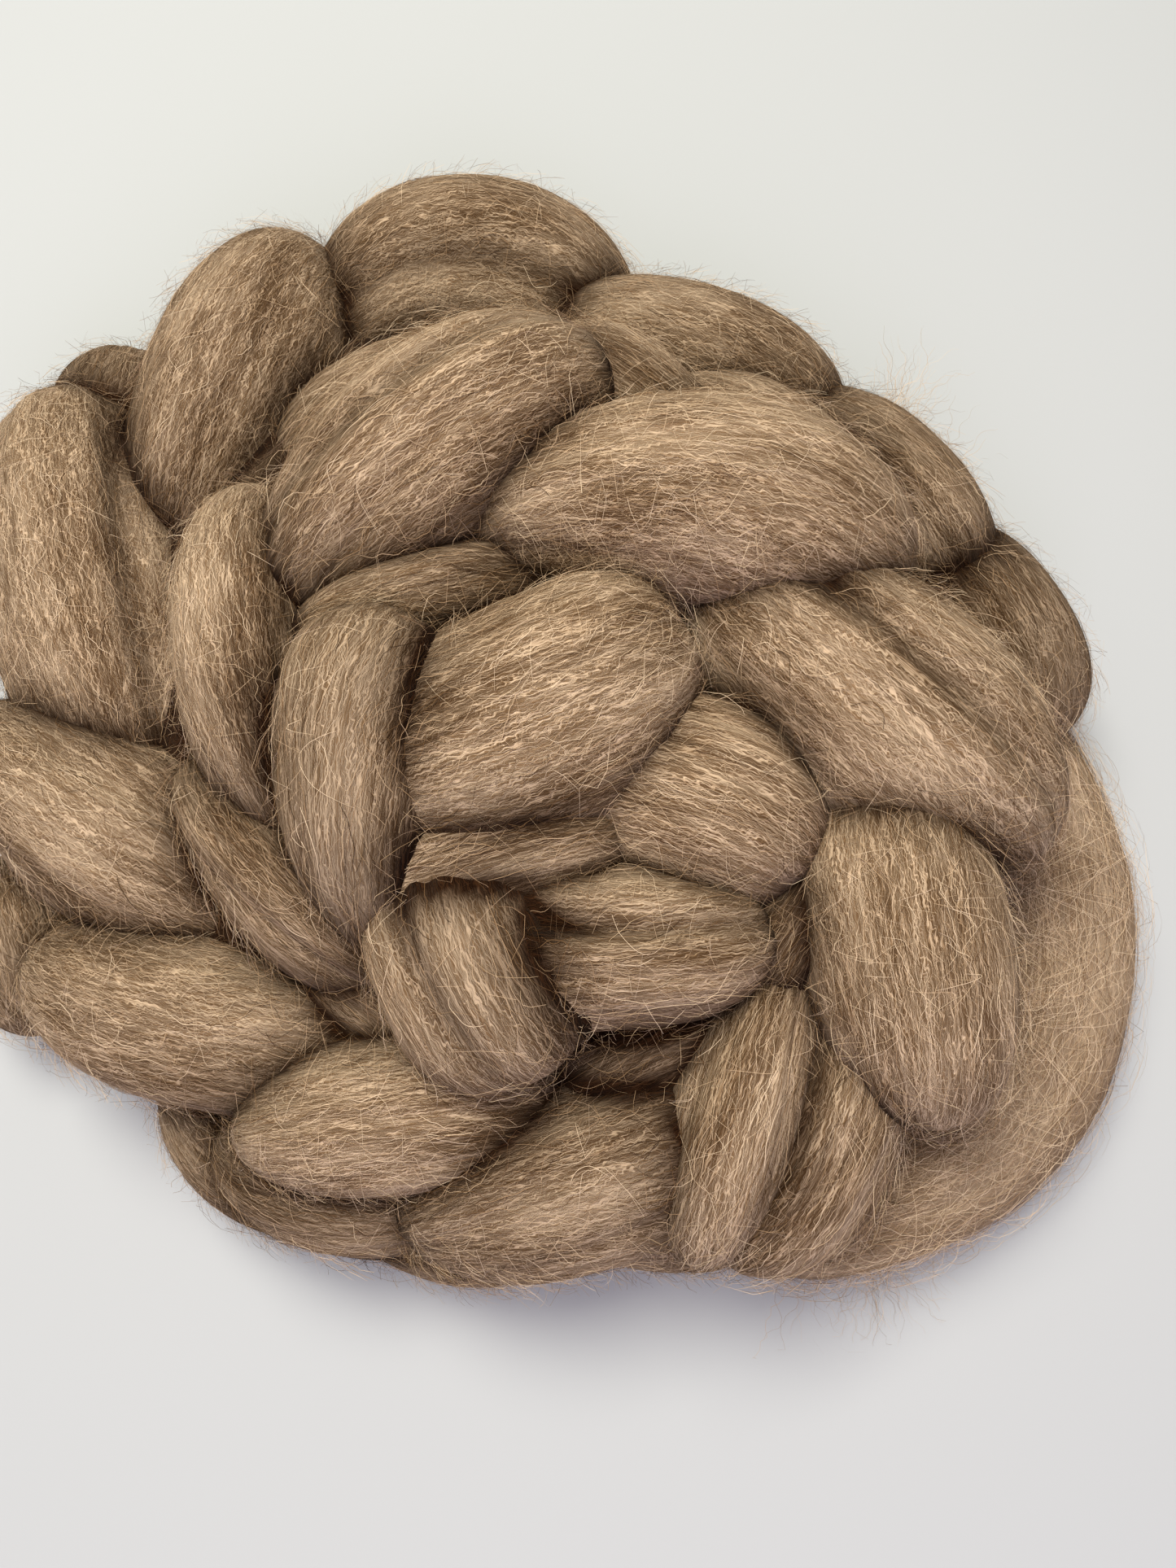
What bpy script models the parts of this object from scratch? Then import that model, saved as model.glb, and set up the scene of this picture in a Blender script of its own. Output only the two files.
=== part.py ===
"""A length of combed wool top, chain-plaited and coiled into a bundle, with one smooth loose end.

The plait shows as lobes: stretches of the soft rope that swell between the places where it
dives under its neighbours. Each lobe that shows is a row of a table. The underside, which is
the plait's reverse, is worked out along a spiral. The lobes are fused into one solid that
lies on a flat base. The loose end is a plain tube that comes out under the coil.

Metres, +Z up. The origin is at the middle of the coil, on the floor.
"""

import math
from collections import namedtuple

import bmesh
import bpy
from mathutils import Matrix, Vector

MM = 0.001

# A lobe's middle (x, y, z), the way its fibres run there (degrees from +X), its size, how far its
# middle bows out to the left of that way, how far its two ends dive, and how full it stays
# towards its ends (2 is an ellipsoid). Sizes are in millimetres.
Lobe = namedtuple(
    "Lobe", "name x y z heading length width thick bow tail_drop head_drop fullness"
)

# First turn, from the loose end round the back to the front.
RIM_LOBES = [
    Lobe("rim_east", 107, 31, 26, -62, 56, 38, 44, 2, 6, 6, 2.4),
    Lobe("rim_north_east", 80, 62, 28, -43, 62, 36, 46, 4, 6, 6, 2.4),
    Lobe("rim_north_right", 39, 99, 30, -22, 74, 38, 50, 5, 6, 6, 2.4),
    Lobe("rim_north_outer", -13, 133, 25, 2, 70, 32, 42, 16, 6, 6, 2.4),
    Lobe("rim_north_inner", -15, 110, 34, 10, 74, 32, 40, 4, 6, 6, 2.4),
    Lobe("rim_north_west", -73, 91, 31, -111, 86, 45, 52, -1, 7, 7, 2.5),
    Lobe("rim_west_upper", -105, 40, 32, -74, 102, 42, 54, -3, 8, 8, 2.5),
    Lobe("rim_west_lower", -97, -17, 33, -34, 76, 42, 52, -1, 7, 7, 2.5),
    Lobe("rim_south_west", -75, -59, 32, -13, 74, 36, 48, -5, 8, 6, 2.5),
    Lobe("rim_south_left", -27, -78, 45, 3, 64, 28, 42, 2, 8, 8, 2.4),
    Lobe("rim_south", 8, -91, 37, 13, 65, 43, 52, 1, 9, 7, 2.6),
]

# Strands of the first turn that show under it, at the rim.
UNDER_LOBES = [
    Lobe("under_north_west", -107, 88, 19, -99, 42, 34, 36, 2, 4, 4, 2.3),
    Lobe("under_west", -118, -42, 17, -67, 42, 28, 34, 1, 3, 3, 2.3),
    Lobe("under_south_west", -42, -95, 24, -14, 56, 27, 38, -4, 4, 4, 2.4),
    Lobe("under_south_left", -63, -91, 15, -32, 54, 26, 30, -7, 3, 3, 2.3),
    Lobe("under_south", -22, -105, 14, -22, 46, 24, 30, -2, 3, 3, 2.3),
    Lobe("under_south_right", 35, -103, 14, 3, 42, 24, 30, 3, 3, 3, 2.3),
    Lobe("under_east", 88, -40, 18, -84, 62, 32, 36, -2, 3, 3, 2.4),
]

# Second turn, which climbs over the first and over the loose end.
SECOND_LOBES = [
    Lobe("second_south_left", 44, -75, 50, -108, 58, 27, 42, -2, 4, 16, 2.4),
    Lobe("second_south_right", 57, -86, 40, -116, 52, 31, 44, 5, 2, 14, 2.4),
    Lobe("second_east", 76, -46, 57, -83, 61, 43, 52, -2, 8, 14, 2.7),
    Lobe("second_north_east", 66, -1, 65, -39, 88, 37, 46, -4, 6, 16, 2.5),
    Lobe("second_north_edge", 83, 13, 56, -39, 78, 27, 46, 7, 4, 14, 2.4),
    Lobe("second_north", 37, 44, 73, -5, 96, 37, 48, 10, 6, 16, 2.4),
    Lobe("second_north_under", 14, 79, 57, -30, 54, 27, 42, -2, 6, 10, 2.3),
    Lobe("second_north_far_right", 57, 68, 45, -34, 62, 33, 48, 3, 6, 8, 2.4),
    Lobe("second_north_far_left", -30, 80, 33, 22, 62, 34, 46, 3, 6, 5, 2.4),
    Lobe("second_north_west", -18, 51, 71, -140, 82, 42, 50, -2, 12, 12, 2.5),
    Lobe("second_west_band", -26, 30, 60, 13, 54, 22, 38, 1, 4, 6, 2.3),
    Lobe("second_west_outer", -61, 11, 59, -79, 76, 26, 46, -4, 8, 10, 2.4),
    Lobe("second_south_west", -53, -33, 50, -45, 60, 26, 46, -4, 6, 8, 2.4),
    Lobe("second_south_dip", -33, -57, 43, -38, 36, 26, 42, 0, 4, 6, 2.3),
]

# Middle of the coil, where the plait ends.
CORE_LOBES = [
    Lobe("core_north_dip", -3, 29, 56, 8, 50, 26, 40, 0, 4, 4, 2.4),
    Lobe("core_west", -32, -9, 69, -90, 63, 34, 48, -2, 6, 14, 2.5),
    Lobe("core_top", 4, -3, 77, 22, 61, 46, 46, -2, 8, 12, 2.8),
    Lobe("core_band", -10, -30, 63, 13, 50, 22, 38, 0, 4, 6, 2.3),
    Lobe("core_east", 34, -17, 64, -1, 56, 38, 42, 4, 10, 12, 2.7),
    Lobe("core_south", -8, -48, 65, -60, 47, 37, 46, -2, 6, 12, 2.6),
    Lobe("core_south_east", 20, -46, 65, -3, 45, 31, 44, -4, 8, 10, 2.6),
    Lobe("core_east_dip", 50, -41, 48, -126, 34, 30, 42, -1, 4, 6, 2.3),
    Lobe("core_south_dip", 25, -64, 46, 26, 40, 28, 40, 1, 6, 4, 2.3),
]

# The underside: strands laid slantwise, by turns, along a spiral inside the rim's outline, round
# the strand that the coil starts from. Its middle lies over the origin.
UNDERSIDE_START = Lobe("underside_start", -3, 13, 14, 20, 66, 40, 34, 0, 2, 2, 2.6)
UNDERSIDE_CENTRE = Vector((-8, 15))
UNDERSIDE_RADII = Vector((94, 104))
UNDERSIDE_PITCH = 42
UNDERSIDE_STEP = 40
UNDERSIDE_SLANT = 36
UNDERSIDE_STRAND = Lobe("underside", 0, 0, 14, 0, 64, 38, 34, 0, 2, 2, 2.4)
SPIRAL_PROBE = 0.02

# What fills the coil inside, under the upper lobes.
FILL_CENTRE = Vector((-4, 12, 32))
FILL_RADII = Vector((94, 102, 25))
FILL_ROUND_STEPS = 40
FILL_LONG_STEPS = 20

# The loose end: points of its centre line on the floor, from under the rim to its frayed tip.
LOOSE_END_DIAMETER = 32
LOOSE_END_HEIGHT = 15.8
LOOSE_END_ROUTE = [
    (79, 30),
    (101, 16),
    (115, -2),
    (121, -25),
    (120, -49),
    (112, -70),
    (97, -86),
    (78, -95),
    (59, -98),
    (44, -94),
]
LOOSE_END_STEPS = 48
LOOSE_END_BEVEL_STEPS = 3
LOOSE_END_GAP = 0.4
WELD_DISTANCE = 0.01

LOBE_ROUND_STEPS = 20
LOBE_LONG_STEPS = 14
FUSE_VOXEL = 3.6
SMOOTH_FACTOR = 0.5
SMOOTH_ROUNDS = 4
COIL_FACES = 8800
FLOOR_DEPTH = 40
FLOOR_REACH = 400

PLAITED_WOOL_COLOUR = (0.27, 0.19, 0.125)
LOOSE_WOOL_COLOUR = (0.3, 0.21, 0.15)
WOOL_ROUGHNESS = 0.9


def clear_scene():
    """Removes what the startup scene holds."""
    for old in list(bpy.data.objects):
        bpy.data.objects.remove(old, do_unlink=True)


def wool_material(name, colour):
    """A soft matt wool finish."""
    material = bpy.data.materials.new(name)
    material.use_nodes = True
    shader = material.node_tree.nodes["Principled BSDF"]
    shader.inputs["Base Color"].default_value = (*colour, 1.0)
    shader.inputs["Roughness"].default_value = WOOL_ROUGHNESS
    shader.inputs["Metallic"].default_value = 0.0
    return material


def strand_place(lobe, along):
    """The centre line's point and direction, from -1 at the lobe's tail to 1 at its head."""
    turn = math.radians(lobe.heading)
    ahead = Vector((math.cos(turn), math.sin(turn), 0))
    left = Vector((-math.sin(turn), math.cos(turn), 0))
    drop = lobe.tail_drop if along < 0 else lobe.head_drop
    middle = Vector((lobe.x, lobe.y, lobe.z))
    point = middle + ahead * (along * lobe.length / 2)
    point -= left * (lobe.bow * along * along)
    point.z -= drop * along * along
    direction = ahead * (lobe.length / 2)
    direction -= left * (2 * lobe.bow * along)
    direction.z -= 2 * drop * along
    return point, direction.normalized()


def add_lobe(mesh, lobe):
    """Adds a unit sphere to mesh and stretches it along the lobe's bent centre line."""
    made = bmesh.ops.create_uvsphere(
        mesh, u_segments=LOBE_ROUND_STEPS, v_segments=LOBE_LONG_STEPS, radius=1.0
    )
    for vert in made["verts"]:
        along = max(-1.0, min(1.0, vert.co.z))
        point, direction = strand_place(lobe, along)
        side = Vector((0, 0, 1)).cross(direction).normalized()
        above = direction.cross(side)
        around = Vector((vert.co.x, vert.co.y))
        if around.length > 1e-6:
            around = around.normalized() * math.sqrt(1 - abs(along) ** lobe.fullness)
        offset = side * (around.x * lobe.width / 2) + above * (around.y * lobe.thick / 2)
        vert.co = (point + offset) * MM


def spiral_point(angle):
    """The underside spiral's point at an angle in radians, from its outer end inwards."""
    shrink = UNDERSIDE_PITCH * angle / math.tau
    reach = UNDERSIDE_RADII - Vector((shrink, shrink))
    return UNDERSIDE_CENTRE + Vector((reach.x * math.cos(angle), reach.y * math.sin(angle)))


def underside_lobes():
    """The strands of the plait's reverse, one row a step along the spiral."""
    rows = [UNDERSIDE_START]
    angle = 0.0
    while spiral_goes_on(angle):
        here = spiral_point(angle)
        ahead = spiral_point(angle + SPIRAL_PROBE) - here
        slant = UNDERSIDE_SLANT if len(rows) % 2 else -UNDERSIDE_SLANT
        heading = math.degrees(math.atan2(ahead.y, ahead.x)) + slant
        rows.append(
            UNDERSIDE_STRAND._replace(
                name=f"underside_{len(rows)}", x=here.x, y=here.y, heading=heading
            )
        )
        angle += UNDERSIDE_STEP * SPIRAL_PROBE / ahead.length
    return rows


def spiral_goes_on(angle):
    """True until the spiral comes to the strand in its middle."""
    reach = min(UNDERSIDE_RADII) - UNDERSIDE_PITCH * angle / math.tau
    return reach > (UNDERSIDE_START.width + UNDERSIDE_STRAND.width) / 2


def add_fill(mesh):
    """Adds the rounded inside of the coil, which no lobe lets show."""
    made = bmesh.ops.create_uvsphere(
        mesh, u_segments=FILL_ROUND_STEPS, v_segments=FILL_LONG_STEPS, radius=1.0
    )
    for vert in made["verts"]:
        stretched = Vector(a * b for a, b in zip(vert.co, FILL_RADII))
        vert.co = (FILL_CENTRE + stretched) * MM


def new_object(name, mesh_builder, collection):
    """Makes an object from a bmesh, which it frees."""
    data = bpy.data.meshes.new(name)
    mesh_builder.to_mesh(data)
    mesh_builder.free()
    made = bpy.data.objects.new(name, data)
    collection.objects.link(made)
    return made


def evaluated_copy(source):
    """The source's mesh with its modifiers applied."""
    graph = bpy.context.evaluated_depsgraph_get()
    return bpy.data.meshes.new_from_object(source.evaluated_get(graph), depsgraph=graph)


def apply_modifiers(target):
    """Replaces the object's mesh by its evaluated one."""
    finished = evaluated_copy(target)
    target.modifiers.clear()
    target.data = finished


def keep_outer_skin(target):
    """Deletes the skins of hollows that the fused lobes close in, and keeps the largest skin."""
    mesh = bmesh.new()
    mesh.from_mesh(target.data)
    unseen = set(mesh.verts)
    skins = []
    while unseen:
        skin = set()
        edge_of_skin = [unseen.pop()]
        while edge_of_skin:
            vert = edge_of_skin.pop()
            skin.add(vert)
            near = {edge.other_vert(vert) for edge in vert.link_edges} & unseen
            unseen -= near
            edge_of_skin.extend(near)
        skins.append(skin)
    skins.sort(key=len)
    inner = [vert for skin in skins[:-1] for vert in skin]
    bmesh.ops.delete(mesh, geom=inner, context="VERTS")
    mesh.to_mesh(target.data)
    mesh.free()


def loose_end_points():
    """The loose end's route as a smooth curve through its own points, in metres."""
    route = [Vector((x, y, LOOSE_END_HEIGHT)) * MM for x, y in LOOSE_END_ROUTE]
    spans = len(route) - 1
    padded = [2 * route[0] - route[1], *route, 2 * route[-1] - route[-2]]
    points = []
    for step in range(LOOSE_END_STEPS + 1):
        place = spans * step / LOOSE_END_STEPS
        span = min(int(place), spans - 1)
        part = place - span
        before, start, end, after = padded[span:span + 4]
        points.append(0.5 * (
            2 * start
            + (end - before) * part
            + (2 * before - 5 * start + 4 * end - after) * part ** 2
            + (3 * start - 3 * end + after - before) * part ** 3
        ))
    return points


def tube(name, points, radius, collection):
    """A round tube with filled caps along the points."""
    data = bpy.data.curves.new(name, "CURVE")
    data.dimensions = "3D"
    data.bevel_depth = radius
    data.bevel_resolution = LOOSE_END_BEVEL_STEPS
    data.use_fill_caps = True
    spline = data.splines.new("POLY")
    spline.points.add(len(points) - 1)
    for target, point in zip(spline.points, points):
        target.co = (*point, 1.0)
    made = bpy.data.objects.new(name, data)
    collection.objects.link(made)
    return made


def closed_mesh_of(curve):
    """Turns a capped curve into a closed mesh object that a Boolean can use."""
    data = evaluated_copy(curve)
    mesh = bmesh.new()
    mesh.from_mesh(data)
    bmesh.ops.remove_doubles(mesh, verts=mesh.verts, dist=WELD_DISTANCE * MM)
    bmesh.ops.recalc_face_normals(mesh, faces=mesh.faces)
    mesh.to_mesh(data)
    mesh.free()
    name = curve.name
    made = bpy.data.objects.new(name + "_mesh", data)
    made.matrix_world = curve.matrix_world
    for collection in curve.users_collection:
        collection.objects.link(made)
    bpy.data.objects.remove(curve, do_unlink=True)
    return made


def loose_end_cutter(points, collection):
    """The room that the loose end takes under the rim, a little wider than it."""
    lead = (points[0] - points[1]).normalized() * LOOSE_END_GAP * MM
    trail = (points[-1] - points[-2]).normalized() * LOOSE_END_GAP * MM
    route = [points[0] + lead, *points[1:-1], points[-1] + trail]
    radius = (LOOSE_END_DIAMETER / 2 + LOOSE_END_GAP) * MM
    cutter = closed_mesh_of(tube("loose_end_room", route, radius, collection))
    hide_guide(cutter)
    return cutter


def floor_cutter(collection):
    """A slab whose top is the floor."""
    mesh = bmesh.new()
    bmesh.ops.create_cube(mesh, size=1.0)
    scale = Vector((FLOOR_REACH, FLOOR_REACH, FLOOR_DEPTH)) * MM
    bmesh.ops.scale(mesh, vec=scale, verts=mesh.verts)
    bmesh.ops.translate(mesh, vec=(0, 0, -scale.z / 2), verts=mesh.verts)
    cutter = new_object("floor_slab", mesh, collection)
    hide_guide(cutter)
    return cutter


def hide_guide(guide):
    """Keeps a cutter out of the finished part."""
    guide.hide_render = True
    guide.display_type = "WIRE"


def cut(target, cutter):
    """Takes the cutter's space out of the target."""
    boolean = target.modifiers.new(cutter.name, "BOOLEAN")
    boolean.operation = "DIFFERENCE"
    boolean.solver = "EXACT"
    boolean.object = cutter
    apply_modifiers(target)


def fuse_and_lighten(target):
    """Fuses the overlapping lobes into one skin, softens its steps and thins out its faces."""
    fuse = target.modifiers.new("fuse", "REMESH")
    fuse.mode = "VOXEL"
    fuse.voxel_size = FUSE_VOXEL * MM
    soften = target.modifiers.new("soften", "SMOOTH")
    soften.factor = SMOOTH_FACTOR
    soften.iterations = SMOOTH_ROUNDS
    apply_modifiers(target)
    keep_outer_skin(target)
    faces = sum(len(face.vertices) - 2 for face in target.data.polygons)
    thin = target.modifiers.new("thin", "DECIMATE")
    thin.decimate_type = "COLLAPSE"
    thin.ratio = COIL_FACES / faces
    thin.use_collapse_triangulate = True
    apply_modifiers(target)


def build_coil(collection, cutters, loose_end_line):
    """The plaited and coiled length: all its lobes fused, cut flat under it."""
    mesh = bmesh.new()
    add_fill(mesh)
    for lobe in [*RIM_LOBES, *UNDER_LOBES, *SECOND_LOBES, *CORE_LOBES, *underside_lobes()]:
        add_lobe(mesh, lobe)
    coil = new_object("braided_top", mesh, collection)
    fuse_and_lighten(coil)
    cut(coil, floor_cutter(cutters))
    cut(coil, loose_end_cutter(loose_end_line, cutters))
    keep_outer_skin(coil)
    coil.data.shade_smooth()
    coil.data.materials.clear()
    coil.data.materials.append(wool_material("plaited_wool", PLAITED_WOOL_COLOUR))
    return coil


def build_loose_end(collection, loose_end_line):
    """The smooth end of the top, which lies round the coil's lower right side."""
    radius = LOOSE_END_DIAMETER / 2 * MM
    loose_end = tube("loose_end", loose_end_line, radius, collection)
    loose_end.data.materials.append(wool_material("loose_wool", LOOSE_WOOL_COLOUR))
    return loose_end


def centre_on_origin(coil, followers):
    """Moves the coil and what lies by it, so that the coil's box is centred over the origin."""
    places = [vert.co for vert in coil.data.vertices]
    middle_x = (min(p.x for p in places) + max(p.x for p in places)) / 2
    middle_y = (min(p.y for p in places) + max(p.y for p in places)) / 2
    shift = Vector((-middle_x, -middle_y, 0))
    coil.data.transform(Matrix.Translation(shift))
    for follower in followers:
        follower.data.transform(Matrix.Translation(shift))
    print(f"coil shifted by {shift.x / MM:.2f}, {shift.y / MM:.2f} mm")


def main():
    """Builds the bundle."""
    clear_scene()
    bundle = bpy.data.collections.new("wool_bundle")
    cutters = bpy.data.collections.new("cutters")
    for collection in (bundle, cutters):
        bpy.context.scene.collection.children.link(collection)
    loose_end_line = loose_end_points()
    coil = build_coil(bundle, cutters, loose_end_line)
    loose_end = build_loose_end(bundle, loose_end_line)
    centre_on_origin(coil, [loose_end])


main()
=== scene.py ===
"""The looks of a length of combed wool top, chain-plaited and coiled into a low round bundle.

The plait shows as lobes, which are swollen stretches of one soft rope of fibre. Each lobe gets a
skin with the swells and creases of its locks, short crimped fibres that lie along it, and fuzz
that crosses it and stands off it. The smooth loose end lies round the right side on the floor and
frays out.

Sizes are in millimetres in the table's frame, whose axes are the bundle's own.
"""

import logging
import math
from dataclasses import dataclass, field, replace
from enum import Enum

import bpy
import numpy as np
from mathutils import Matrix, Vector


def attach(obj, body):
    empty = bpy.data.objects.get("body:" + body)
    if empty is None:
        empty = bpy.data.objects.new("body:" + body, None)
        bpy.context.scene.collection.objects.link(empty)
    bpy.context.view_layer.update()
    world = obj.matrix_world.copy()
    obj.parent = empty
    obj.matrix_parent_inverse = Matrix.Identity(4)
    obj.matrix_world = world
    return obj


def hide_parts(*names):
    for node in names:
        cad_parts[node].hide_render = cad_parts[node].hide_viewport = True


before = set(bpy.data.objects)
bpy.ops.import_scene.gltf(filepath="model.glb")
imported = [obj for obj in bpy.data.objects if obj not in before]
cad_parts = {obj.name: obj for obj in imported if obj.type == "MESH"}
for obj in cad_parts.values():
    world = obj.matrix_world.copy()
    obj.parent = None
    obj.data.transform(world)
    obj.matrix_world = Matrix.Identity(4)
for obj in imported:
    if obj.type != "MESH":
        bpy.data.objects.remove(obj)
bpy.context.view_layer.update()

log = logging.getLogger("wool_bundle")

MM = 0.001
# How far the table's frame lies from the bundle's own.
COIL_SHIFT = np.array([2.42, -14.78, 0.0])
UP = np.array([0.0, 0.0, 1.0])
FULL_TURN = 2 * math.pi
# The longest gap between lobes that is worked out.
FAR = 12.0
# No fibre or skin comes nearer to the floor than this.
FLOOR_GAP = 0.3
# The share of the painted shade in a crease that lies in a thin line along it, and how fast that
# fades.
LINE_SHARE = 0.35
LINE_PACE = 8
# How fast the rest of the painted shade in a crease fades.
CREASE_POWER = 1.6
# How far apart the strands lie in the noise of their finish, so that no two look the same.
STRAND_STEP = 137.0
WISP_SEED = 777
WARM_SHEEN = (1.0, 0.86, 0.72, 1.0)


class Slot(Enum):
    """Names of the material slots, which the fibre batches keep but nothing here reads."""

    PLAITED = "plaited_wool"
    LOOSE = "loose_wool"


@dataclass(frozen=True)
class Lobe:
    """One swollen stretch of the plaited rope.

    x, y and z are its middle. heading is the way its fibres run there, in degrees from +X. bow is
    how far its middle bends out to the left of that way, and the drops are how far its ends dive.
    fullness says how full it stays towards its ends. swell is how much fatter its head is than its
    middle, as a share. twist turns its fibres round it, in degrees from end to end. shade is painted
    shade: how much darker its wool is painted, up to 1, on top of the painted shade in its creases,
    and below 0 it takes some of that away. fold is where a fold runs along it, in degrees from its
    left side over the top, or 0 for none. A fold is also painted darker, as painted shade.
    """

    name: str
    x: float
    y: float
    z: float
    heading: float
    length: float
    width: float
    thick: float
    bow: float
    tail_drop: float
    head_drop: float
    fullness: float
    swell: float = 0.0
    twist: float = 0.0
    shade: float = 0.0
    fold: float = 0.0

    @property
    def middle(self) -> np.ndarray:
        """The middle of the centre line."""
        return np.array([self.x, self.y, self.z], float)

    @property
    def radius(self) -> float:
        """The mean radius at the fattest place."""
        return (self.width + self.thick) / 4

    @property
    def reach(self) -> float:
        """The radius of a ball round the middle that holds the lobe."""
        return self.length / 2 + max(self.width, self.thick) / 2

    @property
    def area(self) -> float:
        """Roughly the area of the skin."""
        return 0.8 * FULL_TURN * self.radius * self.length

    @property
    def ahead(self) -> np.ndarray:
        """The heading as a direction."""
        turn = math.radians(self.heading)
        return np.array([math.cos(turn), math.sin(turn), 0.0])

    @property
    def left(self) -> np.ndarray:
        """The level direction to the left of the heading."""
        return np.cross(UP, self.ahead)

    def centre_line(self, along: np.ndarray) -> np.ndarray:
        """Points of the bent centre line.

        Args:
            along: places from -1 at the tail to 1 at the head.

        Returns:
            One point for each place.
        """
        drop = np.where(along < 0, self.tail_drop, self.head_drop)
        points = self.middle + np.multiply.outer(along * self.length / 2, self.ahead)
        points -= np.multiply.outer(self.bow * along**2, self.left)
        points -= np.multiply.outer(drop * along**2, UP)
        return points

    def axes(self, along: np.ndarray) -> tuple[np.ndarray, np.ndarray, np.ndarray]:
        """The directions ahead, sideways and above at places of the centre line.

        Args:
            along: places from -1 to 1.

        Returns:
            Three arrays of unit vectors.
        """
        drop = np.where(along < 0, self.tail_drop, self.head_drop)
        ahead = np.zeros(along.shape + (3,)) + self.ahead * self.length / 2
        ahead -= np.multiply.outer(2 * self.bow * along, self.left)
        ahead -= np.multiply.outer(2 * drop * along, UP)
        ahead = unit(ahead)
        side = unit(np.cross(UP, ahead))
        return ahead, side, np.cross(ahead, side)

    def skin(
        self, along: np.ndarray, around: np.ndarray, height: np.ndarray | float
    ) -> tuple[np.ndarray, np.ndarray]:
        """Points on or above the lobe's skin.

        Args:
            along: places from -1 to 1.
            around: angles round the centre line, from its left side over the top.
            height: distance above the smooth skin.

        Returns:
            The points and the outward directions there.
        """
        inside = np.clip(along, -1, 1)
        ahead, side, above = self.axes(inside)
        full = np.sqrt(np.maximum(0, 1 - np.abs(inside) ** self.fullness))
        wide, thick = self.width / 2, self.thick / 2
        cosine, sine = np.cos(around), np.sin(around)
        slope = self.fullness * np.abs(inside) ** (self.fullness - 1) * np.sign(inside)
        outward = unit(
            ahead * (slope / (self.length / 2))[..., None]
            + side * (2 * cosine * full / wide)[..., None]
            + above * (2 * sine * full / thick)[..., None]
        )
        points = self.centre_line(inside)
        full = full * (1 + self.swell * inside)
        points += side * (cosine * wide * full)[..., None]
        points += above * (sine * thick * full)[..., None]
        points += outward * np.broadcast_to(height, inside.shape)[..., None]
        return points, outward

    def clearance(self, points: np.ndarray) -> np.ndarray:
        """Roughly how far points lie outside the smooth skin, below 0 inside.

        Args:
            points: points in the table's frame.

        Returns:
            One distance for each point.
        """
        along = (points - self.middle) @ self.ahead / (self.length / 2)
        near = np.clip(along, -1, 1)
        _, side, above = self.axes(near)
        off = points - self.centre_line(near)
        fatter = 1 + self.swell * near
        across = np.sum(off * side, axis=-1) / (fatter * self.width / 2)
        over = np.sum(off * above, axis=-1) / (fatter * self.thick / 2)
        share = np.abs(along) ** self.fullness + across**2 + over**2
        return (np.sqrt(share) - 1) * min(self.width, self.thick) / 2


# In each row the number after twist is the lobe's painted shade, up to 1; below 0 it lightens the
# painted shade of its creases.
FIRST_TURN = (
    Lobe("rim_east", 107, 31, 26, -62, 58, 39, 44, 2, 6, 6, 2.4, 0.05, 0, 0.5),
    Lobe("rim_north_east", 82, 65, 30, -45, 66, 38, 46, 4, 6, 6, 2.4, 0.1, 0, 0.32),
    Lobe("rim_north_right", 38, 98, 30, -22, 80, 41, 50, 5, 6, 6, 2.4, 0.1, 0, 0.25),
    Lobe("rim_north", -16, 121, 29, 4, 76, 54, 47, 12, 6, 6, 2.4, 0, 0, 0.2, 100),
    Lobe("rim_north_west", -73, 89, 31, -111, 90, 46, 52, -1, 7, 9, 2.5, -0.14, 0, 0.18),
    Lobe("rim_west_upper", -101, 34, 32, -74, 118, 47, 54, -3, 8, 9, 2.5, -0.1, 0, 0.06, 52),
    Lobe("rim_west_lower", -93, -16, 33, -34, 82, 44, 52, -1, 8, 8, 2.6, 0.1, 0, 0.1),
    Lobe("rim_south_west", -65, -61, 34, -12, 92, 38, 48, -5, 8, 7, 2.8, -0.06, 0, 0.08),
    Lobe("rim_south_left", -21, -77, 45, 5, 76, 31, 42, 2, 9, 9, 2.5, -0.12),
    Lobe("rim_south", 9, -88, 38, 22, 74, 43, 52, 1, 10, 8, 2.6, 0.26, 16, 0.18),
    Lobe("under_north_west", -107, 88, 19, -99, 42, 34, 36, 2, 4, 4, 2.3, 0, 0, 0.3),
    Lobe("under_west", -118, -42, 17, -67, 42, 28, 34, 1, 3, 3, 2.3, 0, 0, 0.2),
    Lobe("under_south_west", -42, -95, 24, -14, 56, 27, 38, -4, 4, 4, 2.4, 0, 0, 0.2),
    Lobe("under_south_left", -63, -91, 15, -32, 54, 26, 30, -7, 3, 3, 2.3, 0, 0, 0.2),
    Lobe("under_south", -22, -105, 14, -22, 46, 24, 30, -2, 3, 3, 2.3, 0, 0, 0.2),
    Lobe("under_south_right", 35, -103, 14, 3, 42, 24, 30, 3, 3, 3, 2.3, 0, 0, 0.2),
    Lobe("under_east", 88, -40, 18, -84, 62, 32, 36, -2, 3, 3, 2.4, 0, 0, 0.2),
)

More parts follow.
